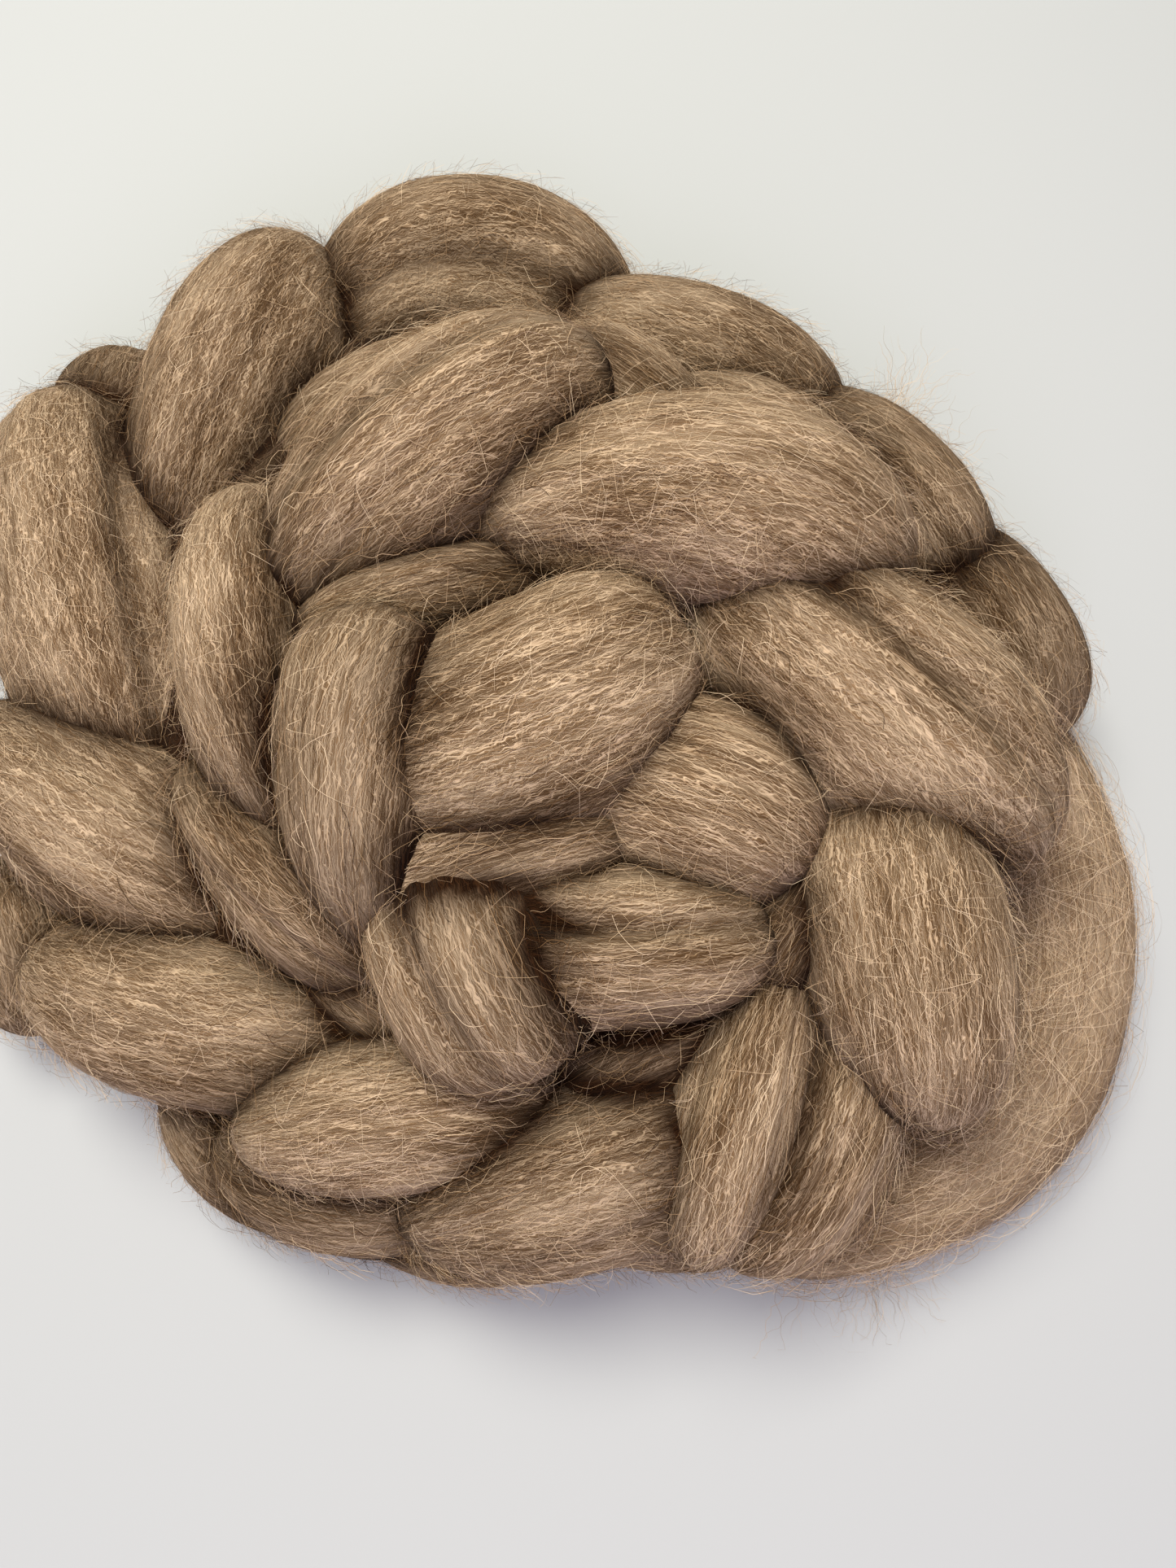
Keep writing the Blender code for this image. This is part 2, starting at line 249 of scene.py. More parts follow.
SECOND_TURN = (
    Lobe("second_south_left", 44, -73, 50, -108, 62, 31, 42, -2, 8, 16, 2.5, 0.12, 0, -0.16),
    Lobe("second_south_right", 59, -81, 42, -113, 56, 38, 44, 5, 6, 12, 2.5, 0.1, 0, -0.16),
    Lobe("second_east", 76, -46, 57, -83, 62, 43, 52, -2, 9, 15, 2.8, -0.08, 0, -0.08),
    Lobe("second_north_east", 70, 4, 63, -40, 87, 51, 50, -1, 8, 17, 2.6, 0.06, 14, 0.04, 78),
    Lobe("second_north", 32, 43, 73, -4, 92, 40, 48, 9, 9, 16, 2.5, 0.14, 10, -0.16),
    Lobe("second_north_under", 20, 70, 57, -34, 46, 28, 42, -2, 8, 10, 2.3, 0, 0, 0.1),
    Lobe("second_north_far_right", 55, 64, 40, -34, 62, 33, 48, 3, 6, 8, 2.4, 0, 0, 0.15),
    Lobe("second_north_far_left", -31, 82, 37, 24, 64, 36, 46, 3, 6, 5, 2.4, 0, 0, 0.1),
    Lobe("second_north_west", -20, 50, 71, -140, 84, 43, 50, -2, 13, 14, 2.6, -0.22, 16, 0.05, 118),
    Lobe("second_west_band", -20, 22, 64, 16, 58, 25, 40, 1, 4, 6, 2.3, 0, 0, 0.05),
    Lobe("second_west_outer", -55, 11, 60, -79, 79, 34, 46, -4, 10, 12, 2.4, -0.12, 0, 0.08),
    Lobe("second_south_west", -50, -32, 49, -45, 66, 28, 46, -4, 8, 9, 2.4, 0, 0, 0.15),
    Lobe("second_south_dip", -32, -57, 36, -38, 34, 26, 42, 0, 4, 6, 2.3, 0, 0, 0.25),
)

COIL_CORE = (
    Lobe("core_north_dip", -3, 29, 56, 8, 50, 26, 40, 0, 4, 4, 2.4, 0, 0, 0.25),
    Lobe("core_west", -30, -16, 72, -94, 56, 37, 48, -3, 8, 18, 3.2, -0.42, 18, 0.25),
    Lobe("core_top", 2, -3, 76, 29, 64, 47, 46, -3, 8, 14, 3.2, -0.07, 26, -0.08),
    Lobe("core_band", -5, -30, 70, 15, 48, 28, 40, 0, 14, 8, 2.8, 0, 0, -0.1),
    Lobe("core_east", 30, -15, 64, -16, 52, 42, 42, 3, 11, 13, 2.6, 0.16, 0, -0.1),
    Lobe("core_south", -6, -47, 66, -60, 38, 46, 44, -2, 5, 10, 3.6, -0.04, 18, 0, 122),
    Lobe("core_south_east", 15, -47, 65, 0, 60, 34, 44, -4, 2, 12, 3.4, 0, 0, 0, 80),
    Lobe("core_east_dip", 50, -41, 48, -126, 34, 30, 42, -1, 4, 6, 2.3, 0, 0, 0.3),
    Lobe("core_south_dip", 25, -64, 46, 26, 40, 28, 40, 1, 6, 4, 2.3, 0, 0, 0.3),
)


def unit(vectors: np.ndarray) -> np.ndarray:
    """The vectors at length 1."""
    size = np.linalg.norm(vectors, axis=-1, keepdims=True)
    return vectors / np.maximum(size, 1e-9)


def crease_shade(gap: np.ndarray) -> np.ndarray:
    """How much painted shade points get in a crease, up to 1, from their gap to the next lobe."""
    share = np.clip(gap, 0, FAR) / FAR
    line = LINE_SHARE * np.exp(-LINE_PACE * share)
    return line + (1 - LINE_SHARE) * (1 - share) ** CREASE_POWER


def straightened(
    run: np.ndarray, around: np.ndarray, radius: float, ends: tuple[float, float]
) -> np.ndarray:
    """Where skin points lie in a straightened strand, for its finish.

    Args:
        run: their distances along the strand.
        around: their angles round it.
        radius: its radius.
        ends: the distances of its two end points.

    Returns:
        A place for each point, the two ends last.
    """
    sides = np.stack([run, np.cos(around) * radius, np.sin(around) * radius], -1)
    return np.concatenate([sides.reshape(-1, 3), [(end, 0.0, 0.0) for end in ends]])


def tube_grid(along: np.ndarray, columns: int) -> list[np.ndarray]:
    """The place along a tube and the angle round it of each point, ring by ring."""
    return np.meshgrid(along, np.arange(columns) * FULL_TURN / columns, indexing="ij")


def tube_faces(rings: int, columns: int) -> tuple[np.ndarray, np.ndarray]:
    """The faces of a closed tube whose points run ring by ring, with its two end points last.

    Args:
        rings: how many rings it has.
        columns: how many points each ring has.

    Returns:
        The quads between the rings, and the triangles that close the tail and the head.
    """
    ring = np.arange(rings - 1)[:, None] * columns
    column = np.arange(columns)
    after = (column + 1) % columns
    sides = [ring + column, ring + columns + column, ring + columns + after, ring + after]
    quads = np.stack(sides, -1).reshape(-1, 4)
    last, tail = (rings - 1) * columns, rings * columns
    tail_fan = np.stack([np.full(columns, tail), column, after], -1)
    head_fan = np.stack([np.full(columns, tail + 1), last + after, last + column], -1)
    return quads, np.concatenate([tail_fan, head_fan])


def linked(name: str, data: bpy.types.ID) -> bpy.types.Object:
    """Makes an object of some data and links it to the scene."""
    made = bpy.data.objects.new(name, data)
    bpy.context.scene.collection.objects.link(made)
    return made


def mesh_piece(
    name: str,
    points: np.ndarray,
    quads: np.ndarray,
    triangles: np.ndarray,
    slots: np.ndarray | int = 0,
) -> bpy.types.Object:
    """Makes an object from arrays.

    Args:
        name: the piece's name.
        points: its points in the table's frame.
        quads: its four-sided faces.
        triangles: its three-sided faces.
        slots: the material slot of each face, quads first, or one slot for all.

    Returns:
        The new object, shaded smooth and linked to the scene.
    """
    mesh = bpy.data.meshes.new(name)
    places = (points + COIL_SHIFT) * MM
    corners = np.concatenate([quads.ravel(), triangles.ravel()])
    starts = np.concatenate(
        [np.arange(len(quads)) * 4, quads.size + np.arange(len(triangles)) * 3]
    )
    mesh.vertices.add(len(places))
    mesh.vertices.foreach_set("co", places.astype(np.float32).ravel())
    mesh.loops.add(len(corners))
    mesh.loops.foreach_set("vertex_index", corners.astype(np.int32))
    mesh.polygons.add(len(starts))
    mesh.polygons.foreach_set("loop_start", starts.astype(np.int32))
    slots = np.broadcast_to(slots, len(starts))
    mesh.polygons.foreach_set("material_index", slots.astype(np.int32))
    mesh.update(calc_edges=True)
    mesh.shade_smooth()
    return linked(name, mesh)


def keep_on_points(piece: bpy.types.Object, name: str, values: np.ndarray) -> None:
    """Stores values on a piece's points for its finish.

    Args:
        piece: the piece.
        name: the name that the finish reads.
        values: one number or vector for each point.
    """
    kind, key = ("FLOAT", "value") if values.ndim == 1 else ("FLOAT_VECTOR", "vector")
    attribute = piece.data.attributes.new(name, kind, "POINT")
    attribute.data.foreach_set(key, values.astype(np.float32).ravel())


def triangles_of(piece: bpy.types.Object) -> int:
    """How many triangles a piece has."""
    return sum(len(face.vertices) - 2 for face in piece.data.polygons)


class Value:
    """A number that a material's nodes work out, written as an expression."""

    def __init__(self, finish: "NodeFinish", socket: bpy.types.NodeSocket) -> None:
        """Wraps an output socket."""
        self.finish = finish
        self.socket = socket

    def _math(self, operation: str, first: object, second: object) -> "Value":
        """Adds a Math node."""
        return self.finish.node("ShaderNodeMath", {"operation": operation}, {0: first, 1: second})

    def __add__(self, other: object) -> "Value":
        """The sum."""
        return self._math("ADD", self, other)

    def __sub__(self, other: object) -> "Value":
        """The difference."""
        return self._math("SUBTRACT", self, other)

    def __rsub__(self, other: object) -> "Value":
        """The difference, with the number first."""
        return self._math("SUBTRACT", other, self)

    def __mul__(self, other: object) -> "Value":
        """The product."""
        return self._math("MULTIPLY", self, other)

    __radd__ = __add__
    __rmul__ = __mul__

    def sine(self) -> "Value":
        """The sine."""
        return self._math("SINE", self, 0.0)

    def absolute(self) -> "Value":
        """The size, without the sign."""
        return self._math("ABSOLUTE", self, 0.0)

    def greater(self, other: "Value") -> "Value":
        """The greater of two numbers."""
        return self._math("MAXIMUM", self, other)


class NodeFinish:
    """A material's node tree, with its Principled shader."""

    def __init__(self, name: str) -> None:
        """Starts a material that has only its shader and output."""
        self.material = bpy.data.materials.new(name)
        self.material.use_nodes = True
        self.tree = self.material.node_tree
        self.shader = self.tree.nodes["Principled BSDF"]

    def node(self, kind: str, settings: dict, inputs: dict, output: int | str = 0) -> Value:
        """Adds a node.

        Args:
            kind: the node's type.
            settings: its own properties.
            inputs: values or links for its sockets, by name or number.
            output: the socket that is wanted from it.

        Returns:
            That output, as a value to go on with.
        """
        made = self.tree.nodes.new(kind)
        for name, setting in settings.items():
            if name == "stops":
                self._set_stops(made.color_ramp, setting)
            else:
                setattr(made, name, setting)
        for name, given in inputs.items():
            if isinstance(given, Value):
                self.tree.links.new(given.socket, made.inputs[name])
            else:
                made.inputs[name].default_value = given
        return Value(self, made.outputs[output])

    @staticmethod
    def _set_stops(ramp: bpy.types.ColorRamp, stops: list) -> None:
        """Fills a colour ramp with pairs of place and colour."""
        while len(ramp.elements) < len(stops):
            ramp.elements.new(1.0)
        for element, (place, colour) in zip(ramp.elements, stops):
            element.position = place
            element.color = (*colour, 1.0)

    def feed(self, socket: str, value: Value) -> None:
        """Links a value to one of the shader's sockets."""
        self.tree.links.new(value.socket, self.shader.inputs[socket])

    def set(self, **constants: object) -> None:
        """Sets constants on the shader's own sockets, with _ for a space in their names."""
        for name, constant in constants.items():
            self.shader.inputs[name.replace("_", " ")].default_value = constant


@dataclass(frozen=True)
class StrandFinish:
    """The skin of a lobe or of the loose end: layers of fine crimped hairs over soft locks.

    The stretches say how many swings each noise makes in a millimetre, along and across. slants
    has one number for each layer of hairs, which is how far they run sideways for each step ahead.
    """

    name: str
    deep: tuple[float, float, float]
    body: tuple[float, float, float]
    bright: tuple[float, float, float]
    # The dark brown towards which painted shade multiplies the wool's colour in creases and folds.
    crease_shade_colour: tuple[float, float, float] = (0.06, 0.032, 0.018)
    hair: tuple[float, float] = (0.08, 2.5)
    hair_edges: tuple[float, float] = (0.86, 1.0)
    slants: tuple[float, ...] = (0.0, 0.24, -0.28, 0.06)
    grain: tuple[float, float] = (0.22, 4.6)
    locks: tuple[float, float] = (0.1, 0.4)
    patches: tuple[float, float] = (0.035, 0.08)
    drift: tuple[float, float] = (0.1, 0.25)
    crimp_length: float = 1.7
    crimp_swing: float = 0.14
    crimp_shift: float = 24.0
    wander: float = 3.0
    strand_radius: float = 20.0
    layer_step: float = 61.0
    lock_tone: float = 0.2
    patch_tone: float = 0.52
    grain_tone: float = 0.3
    hair_tone: float = 0.6
    tone_shift: float = -0.045
    stops: tuple[float, float, float] = (0.38, 0.55, 0.8)
    bump: float = 0.0004
    sheen: float = 0.03

    def material(self) -> bpy.types.Material:
        """Builds the material.

        Returns:
            The material, which reads each point's strand place and its share of painted shade.
        """
        finish = NodeFinish(self.name)
        place = finish.node("ShaderNodeAttribute", {"attribute_name": "strand_place"}, {}, "Vector")
        grain = self._noise(finish, place, self.grain, 2.0)
        locks = self._noise(finish, place, self.locks, 3.0)
        patches = self._noise(finish, place, self.patches, 1.0)
        hairs = self._hairs(finish, place, 0)
        for layer in range(1, len(self.slants)):
            hairs = hairs.greater(self._hairs(finish, place, layer))
        tone = locks * self.lock_tone + patches * self.patch_tone
        tone = tone + grain * self.grain_tone + grain * hairs * self.hair_tone + self.tone_shift
        stops = list(zip(self.stops, (self.deep, self.body, self.bright)))
        colour = finish.node("ShaderNodeValToRGB", {"stops": stops}, {0: tone})
        # Painted shade: the colour is multiplied towards the dark brown by each point's share of
        # painted shade.
        painted_shade_share = finish.node("ShaderNodeAttribute", {"attribute_name": "painted_shade_share"}, {}, "Fac")
        shaded = finish.node(
            "ShaderNodeMix",
            {"data_type": "RGBA", "blend_type": "MULTIPLY"},
            {0: painted_shade_share, 6: colour, 7: (*self.crease_shade_colour, 1.0)},
            2,
        )
        finish.feed("Base Color", shaded)
        ridges = {"Strength": 0.7, "Distance": self.bump, "Height": hairs + grain + locks}
        finish.feed("Normal", finish.node("ShaderNodeBump", {}, ridges))
        finish.set(
            Roughness=0.8,
            Specular_IOR_Level=0.03,
            Sheen_Weight=self.sheen,
            Sheen_Roughness=0.45,
            Sheen_Tint=WARM_SHEEN,
        )
        return finish.material

    def _hairs(self, finish: NodeFinish, place: Value, layer: int) -> Value:
        """One layer of thin crimped hairs that wander a little round the strand.

        Args:
            finish: the material.
            place: the strand place, in millimetres.
            layer: the layer's number.

        Returns:
            1 on a hair and 0 between hairs.
        """
        start = (self.layer_step * layer, 0.0, 0.0)
        moved = finish.node("ShaderNodeVectorMath", {"operation": "ADD"}, {0: place, 1: start})
        along = finish.node("ShaderNodeSeparateXYZ", {}, {0: moved})
        drift = self._noise(finish, moved, self.drift, 1.0)
        curl = along * (FULL_TURN / self.crimp_length) + drift * self.crimp_shift
        swing = curl.sine() * self.crimp_swing
        shift = swing + along * self.slants[layer] + (drift - 0.5) * self.wander
        turned = finish.node(
            "ShaderNodeVectorRotate",
            {"rotation_type": "X_AXIS"},
            {"Vector": moved, "Angle": shift * (1 / self.strand_radius)},
        )
        swings = self._noise(finish, turned, self.hair, 0.0)
        ridge = 1.0 - (swings * 2.0 - 1.0).absolute()
        return finish.node(
            "ShaderNodeMapRange",
            {"interpolation_type": "SMOOTHSTEP"},
            {"Value": ridge, "From Min": self.hair_edges[0], "From Max": self.hair_edges[1]},
        )

    @staticmethod
    def _noise(
        finish: NodeFinish, place: Value, stretch: tuple[float, float], detail: float
    ) -> Value:
        """Noise over strand places, stretched along the strand."""
        scale = (stretch[0], stretch[1], stretch[1])
        scaled = finish.node("ShaderNodeVectorMath", {"operation": "MULTIPLY"}, {0: place, 1: scale})
        inputs = {"Vector": scaled, "Scale": 1.0, "Detail": detail}
        return finish.node("ShaderNodeTexNoise", {}, inputs)


@dataclass(frozen=True)
class FibreFinish:
    """One tone of single fibres. The darker it is, the less it shines."""

    name: str
    colour: tuple[float, float, float]
    gloss: float = 0.45
    sheen: float = 0.12

    def material(self) -> bpy.types.Material:
        """Builds the material."""
        finish = NodeFinish(self.name)
        finish.set(
            Base_Color=(*self.colour, 1.0),
            Roughness=0.6,
            Specular_IOR_Level=self.gloss * self.colour[0],
            Sheen_Weight=self.sheen * self.colour[0],
            Sheen_Roughness=0.4,
            Sheen_Tint=WARM_SHEEN,
        )
        return finish.material


PLAITED_SKIN = StrandFinish(
    "plaited_wool_skin", (0.085, 0.045, 0.021), (0.235, 0.143, 0.078), (0.62, 0.46, 0.325)
)
LOOSE_SKIN = StrandFinish(
    "loose_wool_skin", (0.2, 0.125, 0.072), (0.3, 0.2, 0.125), (0.46, 0.335, 0.23), sheen=0.2
)


class Tone(Enum):
    """The tones of single fibres from light to dark, in the order of their material slots."""

    PALE = FibreFinish("fibre_pale", (0.68, 0.52, 0.375))
    HONEY = FibreFinish("fibre_honey", (0.5, 0.352, 0.23))
    TAUPE = FibreFinish("fibre_taupe", (0.32, 0.205, 0.12))
    UMBER = FibreFinish("fibre_umber", (0.13, 0.071, 0.033))
    # The darkest tone is painted shade: fibres take it only where painted shade makes them darker.
    DEEP_SHADE = FibreFinish("fibre_deep_shade", (0.036, 0.018, 0.008))


class Finishes:
    """The materials, each made once."""

    def __init__(self) -> None:
        """Builds them all."""
        self.plaited = PLAITED_SKIN.material()
        self.loose = LOOSE_SKIN.material()
        self.fibres = [tone.value.material() for tone in Tone]


class Relief:
    """The relief of a strand: broad swells, creases between locks, low ridges and a fold.

    Every wave closes round the strand.
    """

    FOLD_DEPTH = 2.9
    FOLD_HALF_WIDTH = 0.17
    FOLD_SLANT = 0.16

    # How many waves of each kind go round the strand, the creases with their share of the depth.
    SWELLS = (1, 2, 2, 3)
    RIDGES = (9, 13, 18, 23)
    CREASES = ((3, 1.0), (5, 0.8), (9, 0.45))
    # How far each kind may turn round the strand for each step along it.
    SWELL_SLANT = 3.0
    RIDGE_SLANT = 2.6
    CREASE_SLANT = 0.8
    # How far and how often all of them sway, and how a crease's depth comes and goes.
    SWAY = 0.1
    SWAY_PACE = 3.1
    FADE_MEAN = 0.55
    FADE_PACE = 2.4

    def __init__(
        self, seed: int, swell: float, crease: float, ridge: float, fold: float = 0.0
    ) -> None:
        """Draws the relief.

        Args:
            seed: the strand's own number.
            swell: height of the broad swells.
            crease: depth of the creases.
            ridge: height of the low ridges.
            fold: where the fold runs, in degrees, or 0 for none.
        """
        self.fold = math.radians(fold)
        draw = np.random.default_rng(seed)
        rows = [(count, swell, self.SWELL_SLANT) for count in self.SWELLS]
        rows += [(count, ridge, self.RIDGE_SLANT) for count in self.RIDGES]
        self.waves = [
            (count, height, draw.uniform(-slant, slant), draw.uniform(0, FULL_TURN))
            for count, height, slant in rows
        ]
        slant = self.CREASE_SLANT
        self.creases = [
            (count, crease * share, draw.uniform(-slant, slant), *draw.uniform(0, FULL_TURN, 2))
            for count, share in self.CREASES
        ]
        self.sway = draw.uniform(0, FULL_TURN)

    def folded(self, along: np.ndarray, around: np.ndarray) -> np.ndarray:
        """How deep in the fold places lie, up to 1.

        Args:
            along: places along the strand.
            around: angles round it.

        Returns:
            One share for each place.
        """
        if not self.fold:
            return np.zeros(np.shape(around))
        off = around - self.fold - self.FOLD_SLANT * along
        off = (off + math.pi) % FULL_TURN - math.pi
        return np.exp(-((off / self.FOLD_HALF_WIDTH) ** 2)) * np.clip(1 - along**2, 0, 1)

    def height(self, along: np.ndarray, around: np.ndarray) -> np.ndarray:
        """The relief's height over the smooth skin.

        Args:
            along: places along the strand, about 2 to a lobe's length.
            around: angles round it.

        Returns:
            One height for each place.
        """
        swayed = around + self.SWAY * np.sin(self.SWAY_PACE * along + self.sway)
        total = np.zeros(np.shape(swayed))
        for count, height, slant, start in self.waves:
            total += height * np.sin(count * swayed + slant * along + start)
        for count, depth, slant, start, fade_start in self.creases:
            ridge = np.abs(np.sin(count * swayed / 2 + slant * along + start))
            fade = np.sin(self.FADE_PACE * along + fade_start)
            fade = self.FADE_MEAN + (1 - self.FADE_MEAN) * fade
            total -= depth * fade * (1 - ridge) ** 3
        return total - self.FOLD_DEPTH * self.folded(along, around)

    def on_lobe(self, along: np.ndarray, around: np.ndarray) -> np.ndarray:
        """The height on a lobe, where the relief fades out towards both ends."""
        return self.height(along, around) * (1 - np.abs(along) ** 4)


class Plait:
    """All the lobes, to tell what lies free and what lies squeezed between neighbours."""

    def __init__(self, lobes: tuple[Lobe, ...]) -> None:
        """Keeps the lobes."""
        self.lobes = lobes

    def clearance(self, points: np.ndarray, own: Lobe | None) -> np.ndarray:
        """How far points lie outside every lobe but their own.

        Args:
            points: points in the table's frame.
            own: the lobe to leave out, if any.

        Returns:
            The least distance for each point, at most FAR.
        """
        flat = points.reshape(-1, 3)
        least = np.full(len(flat), FAR)
        for lobe in self.lobes:
            if lobe is own:
                continue
            near = np.linalg.norm(flat - lobe.middle, axis=1) < lobe.reach + FAR
            if near.any():
                least[near] = np.minimum(least[near], lobe.clearance(flat[near]))
        return least.reshape(points.shape[:-1])


@dataclass
class Fibres:
    """How wide, tilted and dark some fibres are."""

    width: np.ndarray
    tilt: np.ndarray
    tones: np.ndarray

    def darken(self, steps: np.ndarray) -> None:
        """Makes each fibre's tone darker by a number of steps, rounded."""
        self.tones = np.minimum(self.tones + steps.round().clip(0).astype(int), len(Tone) - 1)

    def some(self, kept: np.ndarray) -> "Fibres":
        """Only the fibres that are kept."""
        return Fibres(self.width[kept], self.tilt[kept], self.tones[kept])


@dataclass
class FibreRun(Fibres):
    """Fibres as offsets from their own middles, before they are laid on a strand."""

    ahead: np.ndarray
    sideways: np.ndarray
    height: np.ndarray


@dataclass(frozen=True)
class FibreLay:
    """How one kind of fibre grows: its sizes and how wildly it lies.

    density is in fibres for each square millimetre, and stray and tilt are in degrees. A free
    fibre stands off at one end, and the others lie down at both ends. The field after free says how
    many tones darker a fibre is painted in a crease, as painted shade. Fibres on_flanks are few on
    top of a lobe and many at its sides.
    """

    density: float
    steps: int
    length: tuple[float, float]
    width: tuple[float, float]
    lift: tuple[float, float]
    stray: float
    bend: float
    crimp: float
    crimp_length: tuple[float, float]
    tilt: float
    tones: tuple[float, float, float, float, float]
    free: bool = False
    crease_shade_steps: float = 2.2
    on_flanks: bool = False

    # How much single fibres swing beside the crimp, how far lying ends dip and how thin ends are.
    SWING_RANGE = (0.4, 1.4)
    END_DIP = 0.3
    END_WIDTH = 0.35

    def run(self, draw: np.random.Generator, count: int) -> FibreRun:
        """Draws fibres.

        Args:
            draw: the source of random numbers.
            count: how many.

        Returns:
            The fibres, each a row of points.
        """
        part = np.linspace(0, 1, self.steps)[None, :]
        length = draw.uniform(*self.length, count)[:, None]
        run = (part - 0.5) * length
        stray = np.radians(draw.normal(0, self.stray, count))[:, None]
        bend = draw.normal(0, self.bend, count)[:, None]
        wave = draw.uniform(*self.crimp_length, count)[:, None]
        phase = draw.uniform(0, FULL_TURN, (2, count))[..., None]
        swing = self.crimp * draw.uniform(*self.SWING_RANGE, count)[:, None]
        curl = FULL_TURN * run / wave
        sway = np.sin(curl + phase[0]) + 0.5 * np.sin(0.43 * curl + phase[1])
        lift = draw.uniform(*self.lift, count)[:, None]
        end = np.abs(2 * part - 1)
        rise = part**0.8 if self.free else 1 - end**4
        dip = self.END_DIP * end**6 * (not self.free)
        full = np.sqrt(np.sin(math.pi * (0.05 + 0.9 * part)))
        taper = self.END_WIDTH + (1 - self.END_WIDTH) * full
        return FibreRun(
            ahead=run * np.cos(stray),
            sideways=run * np.sin(stray) + bend * run**2 / length + swing * sway,
            height=lift * rise - dip + 0.3 * swing * np.cos(curl),
            width=draw.uniform(*self.width, count)[:, None] * taper,
            tilt=np.radians(draw.normal(0, self.tilt, count))[:, None, None],
            tones=draw.choice(len(Tone), count, p=self.tones),
        )


LYING = FibreLay(
    density=0.15,
    steps=14,
    length=(5, 11),
    width=(0.055, 0.11),
    lift=(0.05, 0.6),
    stray=15,
    bend=1.1,
    crimp=0.17,
    crimp_length=(2.2, 3.4),
    tilt=25,
    tones=(0.26, 0.36, 0.26, 0.12, 0.0),
    crease_shade_steps=4.0,
)
CROSSING = FibreLay(
    density=0.018,
    steps=14,
    length=(5, 13),
    width=(0.05, 0.09),
    lift=(0.2, 1.2),
    stray=55,
    bend=2.2,
    crimp=0.4,
    crimp_length=(2.6, 5),
    tilt=45,
    tones=(0.5, 0.35, 0.15, 0.0, 0.0),
)
STANDING = FibreLay(
    density=0.42,
    steps=5,
    length=(3, 9),
    width=(0.045, 0.08),
    lift=(0.8, 4.8),
    stray=60,
    bend=3.2,
    crimp=0.4,
    crimp_length=(4, 7),
    tilt=80,
    tones=(0.45, 0.35, 0.2, 0.0, 0.0),
    free=True,
    on_flanks=True,
)
BENEATH = replace(LYING, density=0.065, width=(0.1, 0.18))
LOOSE_LYING = replace(LYING, density=0.2, length=(7, 20), steps=12, stray=8, lift=(0.1, 1.2))
LOOSE_FUZZ = replace(
    CROSSING, density=0.17, steps=9, length=(8, 20), lift=(0.6, 5.6), stray=30, width=(0.045, 0.085)
)


@dataclass
class FibreBatch:
    """Gathers flat fibres and makes one piece of them."""

    name: str
    slot: Slot
    bunches: list[tuple[np.ndarray, np.ndarray]] = field(default_factory=list)

    def add(self, line: np.ndarray, outward: np.ndarray, fibres: Fibres) -> None:
        """Adds fibres.

        Args:
            line: their points, fibre by fibre.
            outward: the outward direction of the strand at each point.
            fibres: their widths, tilts and tones.
        """
        line = line.copy()
        line[..., 2] = np.maximum(line[..., 2], FLOOR_GAP)
        flat = unit(np.cross(unit(np.gradient(line, axis=1)), outward))
        across = unit(flat * np.cos(fibres.tilt) + outward * np.sin(fibres.tilt))
        half = across * (fibres.width / 2)[..., None]
        self.bunches.append((np.stack([line - half, line + half], axis=2), fibres.tones))

    def build(self, finishes: Finishes) -> bpy.types.Object:
        """Makes the piece.

        Args:
            finishes: the materials.

        Returns:
            The piece, with a material slot for each tone.
        """
        places, faces, slots, first = [], [], [], 0
        for points, tones in self.bunches:
            count, steps = points.shape[:2]
            places.append(points.reshape(-1, 3))
            start = first + np.arange(count)[:, None] * steps * 2 + np.arange(steps - 1) * 2
            faces.append((start[..., None] + np.array([0, 1, 3, 2])).reshape(-1, 4))
            slots.append(np.repeat(tones, steps - 1))
            first += count * steps * 2
        places, faces, slots = map(np.concatenate, (places, faces, slots))
        piece = mesh_piece(self.name, places, faces, np.zeros((0, 3), int), slots)
        for material in finishes.fibres:
            piece.data.materials.append(material)
        return piece


